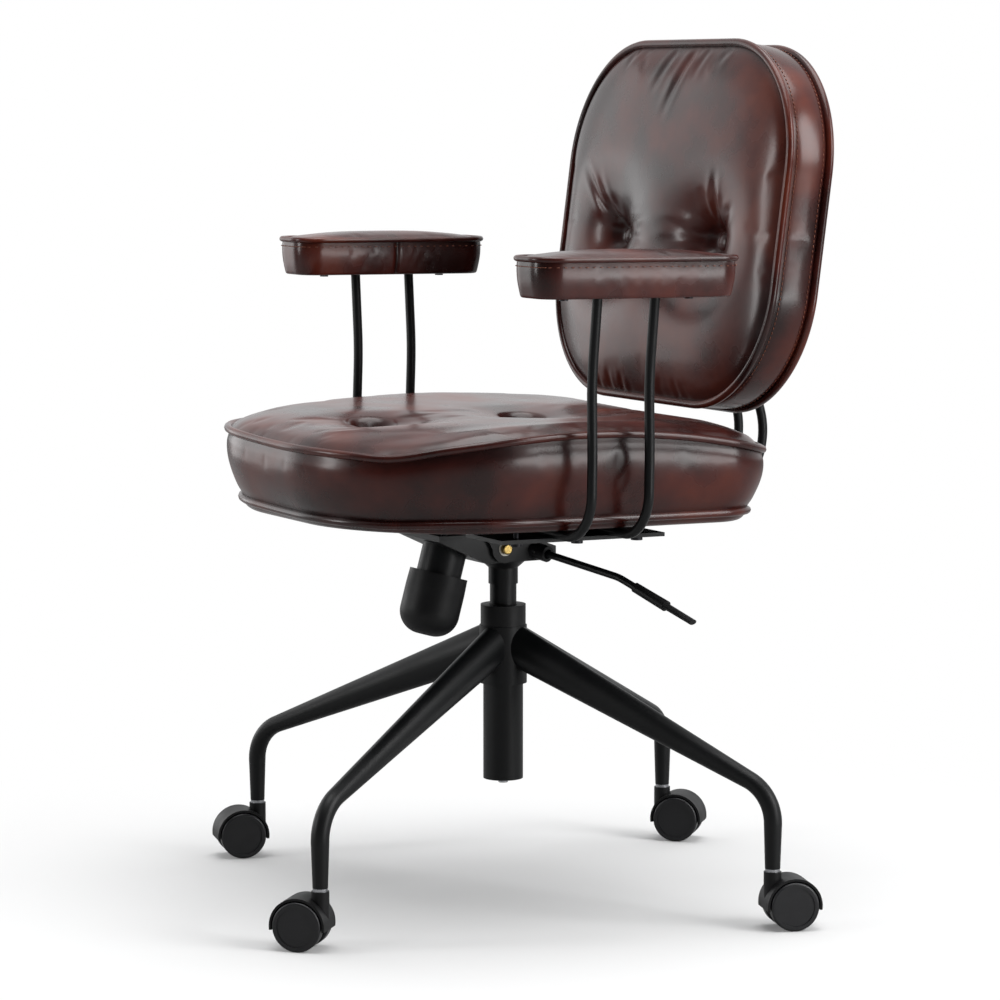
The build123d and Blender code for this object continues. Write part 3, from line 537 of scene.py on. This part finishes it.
seat = {
    "plan": {"half": 230 * mm, "low": -275 * mm, "high": 201 * mm,
             "lowCorner": 180 * mm, "highCorner": 66 * mm},
    "under": 407 * mm, "skirt": 11 * mm, "boxing": 69 * mm, "seamInset": 15 * mm, "skirtInset": 26 * mm,
    "boardMargin": 33.7 * mm, "boardRoom": 12.4 * mm, "bulge": 4 * mm, "groove": 1.4 * mm,
    "crown": 23 * mm, "power": 7.0, "roll": 0.6, "grid": 84, "boxingRings": 14,
    "tufts": ((0, -156 * mm), (0, 21 * mm)), "tuftRim": 27 * mm, "tuftFloor": 9 * mm, "tuftDepth": 20 * mm,
    "tuftSink": 12 * mm, "sinkReach": 52 * mm, "sinkShift": 26 * mm, "piping": 4.1 * mm, "swell": 1.2 * mm,
    "wave": 6.0 * mm, "wavePeak": 5 * mm, "waveReach": 200 * mm, "waveBelow": 0.5,
    "farLift": 9 * mm, "farFrom": 60 * mm, "farReach": 290 * mm, "archFrom": 150 * mm, "archReach": 60 * mm,
    "arch": 17 * mm, "archPeak": -25 * mm, "archBend": 0.54,
    "pipingOut": 0.8 * mm, "pipingRise": 0.6 * mm, "lowPipingOut": 1.0 * mm, "pipingPoints": 260,
    "stitches": 270, "stitchInset": 0.2 * mm, "stitchDrop": 8.5 * mm,
    "seamDark": 0.75, "seamDarkReach": 11 * mm, "tuftDarkReach": 27 * mm,
}


def seamWave(x, y, below=False):
    # The seam sags at the corners, lies higher on the sitter's right and rides up in one long arch on the left
    wave = seat["wave"] * np.cos(pi * (y - seat["wavePeak"]) / seat["waveReach"])
    wave = wave + seat["farLift"] * ease((seat["farFrom"] - x) / seat["farReach"])
    arch = seat["arch"] - seat["archBend"] * (y - seat["archPeak"]) ** 2
    left = ease((x - seat["archFrom"]) / seat["archReach"])
    if below:
        return (1 - left) * seat["waveBelow"] * wave
    return (1 - left) * wave + left * arch


def seatSides():
    # Boxing from the top seam down, the skirt turning under, then up round the board
    rings = []
    count = seat["boxingRings"]
    seam = -seat["boxing"]
    for number in range(1, count + 1):
        t = number / count
        belly = seat["seamInset"] * t * t - seat["bulge"] * sin(pi * t) * (1.3 - t)
        pinch = seat["groove"] * (number in (1, count - 1))
        rings.append((belly + pinch, seam * t))
    for number in range(1, 5):
        t = number / 4 * pi / 2
        by = seat["seamInset"] + (seat["skirtInset"] - seat["seamInset"]) * (1 - cos(t))
        rings.append((by, seam - seat["skirt"] * sin(t)))
    rings.append((seat["boardMargin"], seam - seat["skirt"]))
    rings.append((seat["boardMargin"], seam - seat["skirt"] + seat["boardRoom"]))
    return rings


def seatTufts(local, top, depth, profile, shift=0.0):
    for x, y in seat["tufts"]:
        reach = np.hypot(local[:, 0] - x - shift, local[:, 1] - y)
        local[top, 2] -= (depth * profile(reach))[top]


def sinkProfile(reach):
    return np.exp(-(reach / seat["sinkReach"]) ** 2)


def pitProfile(reach):
    return 1 - ease((reach - seat["tuftFloor"]) / (seat["tuftRim"] - seat["tuftFloor"]))


def makeSeat():
    rings = seatSides()
    piece = panelGrid("seat_upholstery", seat["grid"], seat["grid"], len(rings))
    local, level, share = shapePanel(piece, seat["plan"], seat["crown"], seat["power"], seat["roll"], rings)
    top = level == 0
    seatTufts(local, top, seat["tuftSink"], sinkProfile, seat["sinkShift"])
    down = np.clip(level / seat["boxingRings"], 0, 1)
    hold = np.where(top, share ** 4, 1 - down) * (level <= seat["boxingRings"])
    held = down * (level <= seat["boxingRings"])
    x, y = local[:, 0], local[:, 1]
    local[:, 2] += hold * seamWave(x, y) + held * seamWave(x, y, below=True)
    toSeat = seatFrame @ Matrix.Translation((0, 0, seat["under"] + seat["skirt"] + seat["boxing"]))
    setCoords(piece, moved(toSeat, local))
    floors = np.zeros(len(local), bool)
    for x, y in seat["tufts"]:
        floors |= top & (np.hypot(local[:, 0] - x - seat["sinkShift"], local[:, 1] - y) < seat["sinkReach"])
    sewn = (share > 0.985) & (level <= 1) | (level >= seat["boxingRings"] - 1) | floors
    puff(piece, sewn, {**air, "cap": seat["swell"]})
    applyModifier(piece, "SUBSURF", levels=1, render_levels=1)
    local = moved(toSeat.inverted(), coords(piece))
    seatTufts(local, local[:, 2] > 0, seat["tuftDepth"], pitProfile)
    setCoords(piece, moved(toSeat, local))
    # Painted shade: darker towards the seams and round the tuft pits
    depth = np.minimum(np.abs(local[:, 2]), np.abs(local[:, 2] + seat["boxing"]))
    inner = edgeDistance(seat["plan"], local[:, 0], local[:, 1])
    away = np.where(local[:, 2] > -2 * mm, np.maximum(inner, 0), depth)
    dark = seat["seamDark"] * np.exp(-away / seat["seamDarkReach"])
    for x, y in seat["tufts"]:
        reach = np.hypot(local[:, 0] - x, local[:, 1] - y)
        pit = np.exp(-(reach / seat["tuftDarkReach"]) ** 4)
        dark = np.maximum(dark, np.where(local[:, 2] > -10 * mm, pit, 0))
    storePaintedShade(piece, dark)
    finishPanel(piece, "seat")
    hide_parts("seat_cushion")
    cords = (("seat_top_piping", -seat["pipingOut"], seat["pipingRise"], False),
             ("seat_bottom_piping", seat["seamInset"] - seat["lowPipingOut"], -seat["boxing"], True))
    for name, by, height, below in cords:
        loop = loopOrder(seat["plan"], by, seat["pipingPoints"])
        height = height + seamWave(loop[:, 0], loop[:, 1], below)
        seamTube(name, moved(toSeat, np.c_[loop, height]), seat["piping"], "seat")
    row = loopOrder(seat["plan"], seat["stitchInset"], seat["stitches"])
    place = np.c_[row, -seat["stitchDrop"] + seamWave(row[:, 0], row[:, 1])]
    stitchRow("seat_stitching", moved(toSeat, place), outward(row, toSeat), "seat")


makeSeat()
print("seat made")


# Back

back = {
    "plan": {"half": 216 * mm, "low": 0.0, "high": 378 * mm,
             "lowCorner": 126 * mm, "highCorner": 129 * mm},
    "foot": (0, 176 * mm, 518.5 * mm), "lean": radians(7.0),
    "boxing": 48 * mm, "bulge": 2 * mm, "crown": 25 * mm, "power": 3.4, "roll": 0.7,
    "grid": 90, "boxingRings": 10,
    "rearCrown": 4.9 * mm, "buttonX": 95 * mm, "buttonY": 171 * mm, "tuftDepth": 34 * mm, "tuftReach": 27 * mm,
    "tuftFloor": 10 * mm, "piping": 4.2 * mm, "groove": 1.2 * mm, "pipingOut": 0.8 * mm, "pipingRise": 1.0 * mm,
    "pipingPoints": 240, "stitches": 250, "stitchOut": 1.0 * mm, "stitchDrop": 8 * mm,
    "seamDark": 0.7, "seamDarkReach": 12 * mm, "tuftDark": 0.5, "tuftDarkReach": 26 * mm,
    "foldsFrom": 4 * mm, "buttonHold": 14 * mm,
    # Folds in millimetres: reach across and up from where they start, depth, width
    "rightFolds": ((-66, 78, 2.6, 4.6), (-36, 74, 2.3, 4.4), (95, 20, 1.6, 6.0), (95, -4, 1.8, 6.0)),
    "leftFolds": ((16, 80, 2.4, 4.6), (-14, 60, 1.4, 4.6), (54, 42, 1.3, 4.8), (-95, 20, 1.6, 6.0),
                  (-95, -4, 1.8, 6.0)),
    "topFolds": ((-96, -20, 30, 0.8, 4.5), (-16, -24, 56, 1.2, 5.0), (22, -30, 84, 1.8, 5.0),
                 (48, -14, 40, 0.9, 4.5), (90, -18, 28, 0.8, 4.5)),
    "bottomFolds": ((-96, 4, 20, 0.9, 4.0), (-74, 4, 26, 1.2, 4.0), (-50, 6, 24, 1.1, 4.0),
                    (10, 0, 20, 0.8, 4.5), (66, -6, 22, 0.8, 4.5)),
}
backFrame = seatFrame @ Matrix.Translation(back["foot"]) @ Matrix.Rotation(pi / 2 - back["lean"], 4, "X")


def backSides():
    count = back["boxingRings"]
    rings = []
    for number in range(1, count + 1):
        t = number / count
        pinch = back["groove"] * (number in (1, count - 1))
        rings.append((pinch - back["bulge"] * sin(pi * t), -back["boxing"] * t))
    rings.append((8 * mm, -back["boxing"] + 1 * mm))
    return rings


def backTufts(local, top):
    for side in (-1, 1):
        reach = np.hypot(local[:, 0] - side * back["buttonX"], local[:, 1] - back["buttonY"])
        slope = np.maximum(reach - back["tuftFloor"], 0) / back["tuftReach"]
        local[top, 2] -= (back["tuftDepth"] * np.exp(-slope ** 1.1))[top]


def makeBack():
    rings = backSides()
    piece = panelGrid("back_upholstery", back["grid"], back["grid"], len(rings))
    local, level, share = shapePanel(piece, back["plan"], back["crown"], back["power"], back["roll"], rings)
    top = level == 0
    backTufts(local, top)
    setCoords(piece, moved(backFrame, local))
    floors = np.zeros(len(local), bool)
    for side in (-1, 1):
        reach = np.hypot(local[:, 0] - side * back["buttonX"], local[:, 1] - back["buttonY"])
        floors |= top & (reach < back["buttonHold"])
    sewn = (share > 0.985) & (level <= 1) | (level >= back["boxingRings"] - 1) | floors
    puff(piece, sewn, air)
    applyModifier(piece, "SUBSURF", levels=1, render_levels=1)
    local = moved(backFrame.inverted(), coords(piece))
    front = local[:, 2] > -1 * mm
    foldBack(local, front)
    setCoords(piece, moved(backFrame, local))
    # Painted shade: darker towards the seams and round the button pits
    inner = edgeDistance(back["plan"], local[:, 0], local[:, 1])
    depth = np.minimum(np.abs(local[:, 2]), np.abs(local[:, 2] + back["boxing"]))
    dark = back["seamDark"] * np.exp(-np.where(front, np.maximum(inner, 0), depth) / back["seamDarkReach"])
    for side in (-1, 1):
        reach = np.hypot(local[:, 0] - side * back["buttonX"], local[:, 1] - back["buttonY"])
        pit = back["tuftDark"] * np.exp(-(reach / back["tuftDarkReach"]) ** 2)
        dark = np.maximum(dark, np.where(front, pit, 0))
    storePaintedShade(piece, dark)
    finishPanel(piece, "seat")
    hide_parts("back_cushion")
    for name, height in (("back_front_piping", back["pipingRise"]), ("back_rear_piping", -back["boxing"])):
        loop = loopOrder(back["plan"], -back["pipingOut"], back["pipingPoints"])
        seamTube(name, moved(backFrame, np.c_[loop, np.full(len(loop), height)]), back["piping"], "seat")
    row = loopOrder(back["plan"], -back["stitchOut"], back["stitches"])
    drop = back["stitchDrop"]
    for name, height in (("back_front_stitching", -drop), ("back_rear_stitching", drop - back["boxing"])):
        place = np.c_[row, np.full(len(row), height)]
        stitchRow(name, moved(backFrame, place), outward(row, backFrame), "seat")


def foldBack(local, front):
    # Folds that the buttons pull up and out, pulls between them, and gathers along the top and bottom seams
    for side, folds in ((-1, back["rightFolds"]), (1, back["leftFolds"])):
        x, y = side * back["buttonX"], back["buttonY"]
        for dx, dy, depth, width in folds:
            crease(local, front, (x, y), (x + dx * mm, y + dy * mm), depth * mm, width * mm, 0.45)
    low, high = back["foldsFrom"], back["plan"]["high"] - back["foldsFrom"]
    for x, dx, dy, depth, width in back["topFolds"]:
        start, end = (x * mm, high), ((x + dx) * mm, high - dy * mm)
        crease(local, front, start, end, depth * mm, width * mm, 0.15)
    for x, dx, dy, depth, width in back["bottomFolds"]:
        start, end = (x * mm, low), ((x + dx) * mm, low + dy * mm)
        crease(local, front, start, end, depth * mm, width * mm, 0.15)


def makeBackPanel():
    # The board at the rear, covered in leather and sewn in at the rear piping
    piece = panelGrid("back_rear_panel", 48, 48, 1)
    plan = inset(back["plan"], 1.5 * mm)
    local, _, _ = shapePanel(piece, plan, back["rearCrown"], 9.0, 1.0, [(6 * mm, -4 * mm)])
    local[:, 2] = -local[:, 2] - back["boxing"]
    setCoords(piece, moved(backFrame, local))
    applyModifier(piece, "SUBSURF", levels=1, render_levels=1)
    # Painted shade: the rear panel darker towards its edge at the piping
    inner = edgeDistance(plan, *moved(backFrame.inverted(), coords(piece))[:, :2].T)
    storePaintedShade(piece, 0.6 * np.exp(-np.maximum(inner, 0) / (14 * mm)))
    finishPanel(piece, "seat")
    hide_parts("back_board")


button = {"radius": 11 * mm, "height": 6.5 * mm}


def makeButtons():
    for side, word in ((1, "left"), (-1, "right")):
        bpy.ops.object.select_all(action="DESELECT")
        bpy.ops.mesh.primitive_uv_sphere_add(segments=32, ring_count=16, radius=1)
        piece = bpy.context.active_object
        piece.name = f"back_button_{word}"
        local = coords(piece)
        dome = np.maximum(local[:, 2], -0.35)
        local = np.c_[local[:, :2] * button["radius"], dome * button["height"]]
        place = Vector((side * back["buttonX"], back["buttonY"], buttonBase()))
        setCoords(piece, moved(backFrame @ Matrix.Translation(place), local))
        # Painted shade: the button much darker at its foot in the pit, slightly darker above
        storePaintedShade(piece, np.where(local[:, 2] < 2 * mm, 0.7, 0.15))
        finishPanel(piece, "seat")
        if side > 0:
            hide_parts("back_buttons")


def buttonBase():
    # Height of the buttons over the front seam's plane, from the frame's own buttons
    low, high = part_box("back_buttons")
    corner = moved(backFrame.inverted(), np.array([[0, low.y, high.z], [0, high.y, low.z]]))
    return float(corner[:, 2].mean()) - button["height"] / 2


makeBack()
makeBackPanel()
makeButtons()
print("back made")


# Arm pads

pad = {
    "plan": {"half": 35 * mm, "low": -124.75 * mm, "high": 103.25 * mm,
             "lowCorner": 25 * mm, "highCorner": 25 * mm},
    "railX": 262 * mm, "under": 641.5 * mm, "height": 38 * mm, "foot": 4 * mm,
    "crown": 8 * mm, "power": 2.6, "roll": 0.75, "bulge": 1.5 * mm, "drawIn": 3 * mm, "footInset": 3 * mm,
    "barInset": 17.6 * mm, "barRoom": 4.4 * mm, "piping": 3.0 * mm, "boxingRings": 8,
    "joinY": -10 * mm, "joinWidth": 2.2 * mm, "joinDepth": 1.2 * mm,
    "pipingOut": 0.4 * mm, "pipingRise": 0.3 * mm, "pipingPoints": 180,
    "stitches": 110, "stitchDrop": 7 * mm, "seamDark": 0.6, "seamDarkReach": 8 * mm,
}


def padSides():
    rings = []
    count = pad["boxingRings"]
    seam = pad["foot"] - pad["height"]
    for number in range(1, count + 1):
        t = number / count
        rings.append((pad["drawIn"] * t - pad["bulge"] * sin(pi * t), seam * t))
    for number in range(1, 4):
        t = number / 3 * pi / 2
        rings.append((pad["drawIn"] + pad["footInset"] * (1 - cos(t)), seam - pad["foot"] * sin(t)))
    rings.append((pad["barInset"], -pad["height"]))
    rings.append((pad["barInset"], -pad["height"] + pad["barRoom"]))
    return rings


def makePad(side, word):
    rings = padSides()
    piece = panelGrid(f"arm_pad_{word}_upholstery", 24, 64, len(rings))
    local, level, share = shapePanel(piece, pad["plan"], pad["crown"], pad["power"], pad["roll"], rings)
    toPad = seatFrame @ Matrix.Translation((side * pad["railX"], 0, pad["under"] + pad["height"]))
    setCoords(piece, moved(toPad, local))
    sewn = (share > 0.985) & (level <= 1) | (level >= pad["boxingRings"])
    puff(piece, sewn, air)
    applyModifier(piece, "SUBSURF", levels=1, render_levels=1)
    local = moved(toPad.inverted(), coords(piece))
    # Painted shade: darker towards the seams
    inner = edgeDistance(pad["plan"], local[:, 0], local[:, 1])
    away = np.where(local[:, 2] > 0, np.maximum(inner, 0), np.abs(local[:, 2]))
    dark = pad["seamDark"] * np.exp(-away / pad["seamDarkReach"])
    # The boxing's two ends meet in a seam on the inner side, pressed in and darkened there with painted shade
    inside = (local[:, 0] * side < -20 * mm) & (local[:, 2] < -1 * mm) & (local[:, 2] > 2 * mm - pad["height"])
    join = np.where(inside, np.exp(-((local[:, 1] - pad["joinY"]) / pad["joinWidth"]) ** 2), 0)
    local[:, 0] += side * pad["joinDepth"] * join
    setCoords(piece, moved(toPad, local))
    storePaintedShade(piece, np.maximum(dark, join))
    finishPanel(piece, "seat")
    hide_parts(f"arm_pad_{word}")
    loop = loopOrder(pad["plan"], -pad["pipingOut"], pad["pipingPoints"])
    cord = moved(toPad, np.c_[loop, np.full(len(loop), pad["pipingRise"])])
    seamTube(f"arm_pad_{word}_piping", cord, pad["piping"], "seat")
    row = loopOrder(pad["plan"], -pad["bulge"] * 0.75, pad["stitches"])
    place = np.c_[row, np.full(len(row), -pad["stitchDrop"])]
    stitchRow(f"arm_pad_{word}_stitching", moved(toPad, place), outward(row, toPad), "seat")


for side, word in ((1, "left"), (-1, "right")):
    makePad(side, word)
print("arm pads made")


# Camera, floor and light

photoCamera = {"lens": 131.48, "place": (3.3236, -1.8423, 0.8437), "azimuth": 61.05, "pitch": 0.1122}


def makeCamera():
    turn = radians(photoCamera["azimuth"])
    pitch = photoCamera["pitch"]
    ahead = Vector((-sin(turn) * cos(pitch), cos(turn) * cos(pitch), -sin(pitch)))
    data = bpy.data.cameras.new("photo_camera")
    data.lens = photoCamera["lens"]
    data.sensor_width = 36.0
    data.clip_end = 100.0
    camera = bpy.data.objects.new("photo_camera", data)
    camera.location = photoCamera["place"]
    camera.rotation_euler = ahead.to_track_quat("-Z", "Y").to_euler()
    scene.collection.objects.link(camera)
    scene.camera = camera


def makeFloor():
    # Pale floor that keeps the shadow near the chair and fades to the white surround
    bpy.ops.object.select_all(action="DESELECT")
    bpy.ops.mesh.primitive_plane_add(size=60)
    floor = bpy.context.active_object
    floor.name = "floor"
    material = bpy.data.materials.new("pale_floor")
    material.use_nodes = True
    tree = material.node_tree
    tree.nodes.clear()
    place = addNode(tree, "ShaderNodeTexCoord").outputs["Object"]
    reach = addNode(tree, "ShaderNodeVectorMath", {0: place}, operation="LENGTH")
    fade = addNode(tree, "ShaderNodeMapRange", {
        "Value": reach.outputs["Value"], "From Min": 0.22, "From Max": 0.85}, interpolation_type="SMOOTHSTEP")
    light = addNode(tree, "ShaderNodeLightPath")
    seen = addNode(tree, "ShaderNodeMath", {
        0: fade.outputs["Result"], 1: light.outputs["Is Camera Ray"]}, operation="MULTIPLY")
    # Whiter to the camera than to the chair, whose underside the floor would brighten too much
    pale = addNode(tree, "ShaderNodeMix", {
        "Factor": light.outputs["Is Camera Ray"], "A": hexColor("#a2a2a2"),
        "B": hexColor("#d4d4d4")}, data_type="RGBA")
    lit = addNode(tree, "ShaderNodeBsdfDiffuse", {"Color": pale.outputs[2]})
    white = addNode(tree, "ShaderNodeEmission", {"Color": (1, 1, 1, 1), "Strength": 1.0})
    mix = addNode(tree, "ShaderNodeMixShader", {
        "Fac": seen.outputs["Value"], 1: lit.outputs["BSDF"], 2: white.outputs["Emission"]})
    addNode(tree, "ShaderNodeOutputMaterial", {"Surface": mix.outputs["Shader"]})
    dress(floor, material)


studioLamps = (
    # Name, azimuth from the chair's front towards its left, distance, height, the box's width and height, watts
    ("left_softbox", -62, 3.2, 1.6, 1.9, 1.2, 7),
    ("left_low", -66, 3.2, 0.5, 1.9, 1.0, 11),
    ("right_softbox", 126, 3.0, 2.0, 1.4, 1.9, 80),
    ("right_low", 116, 3.0, 0.34, 1.4, 0.46, 21),
    ("front_strip", -16, 3.2, 1.2, 0.5, 1.5, 28),
)
topBox = {"place": (0.2, 0.1, 3.0), "size": (2.4, 2.2), "watts": 80}
surround = {"behind": 1.05, "front": 0.05, "color": "#f1f2f3"}


def addLamp(name, place, aim, size, watts):
    data = bpy.data.lights.new(name, "AREA")
    data.shape = "RECTANGLE"
    data.size, data.size_y = size
    data.energy = watts
    lamp = bpy.data.objects.new(name, data)
    lamp.location = place
    lamp.rotation_euler = (Vector(aim) - Vector(place)).to_track_quat("-Z", "Y").to_euler()
    scene.collection.objects.link(lamp)


def makeLight():
    for name, azimuth, distance, height, wide, tall, watts in studioLamps:
        turn = radians(azimuth)
        place = (distance * sin(turn), -distance * cos(turn), height)
        addLamp(name, place, (0, 0, 0.7), (wide, tall), watts)
    addLamp("top_softbox", topBox["place"], (0, 0, 0), topBox["size"], topBox["watts"])
    world = bpy.data.worlds.new("studio")
    scene.world = world
    world.use_nodes = True
    tree = world.node_tree
    tree.nodes.clear()
    # White wall behind the chair, dark room on the camera's side, plain white where the camera looks
    turn = radians(photoCamera["azimuth"])
    toward = addNode(tree, "ShaderNodeTexCoord").outputs["Generated"]
    side = addNode(tree, "ShaderNodeVectorMath", {
        0: toward, 1: (-sin(turn), cos(turn), 0.25)}, operation="DOT_PRODUCT")
    level = addNode(tree, "ShaderNodeMapRange", {
        "Value": side.outputs["Value"], "From Min": -0.5, "From Max": 0.6,
        "To Min": surround["front"], "To Max": surround["behind"]}, interpolation_type="SMOOTHSTEP")
    path = addNode(tree, "ShaderNodeLightPath")
    soft = addNode(tree, "ShaderNodeBackground", {
        "Color": hexColor(surround["color"]), "Strength": level.outputs["Result"]})
    white = addNode(tree, "ShaderNodeBackground", {"Color": (1, 1, 1, 1), "Strength": 1.0})
    mix = addNode(tree, "ShaderNodeMixShader", {
        "Fac": path.outputs["Is Camera Ray"], 1: soft.outputs["Background"], 2: white.outputs["Background"]})
    addNode(tree, "ShaderNodeOutputWorld", {"Surface": mix.outputs["Shader"]})
    scene.view_settings.view_transform = "Standard"


makeCamera()
makeFloor()
makeLight()
print("stage set")
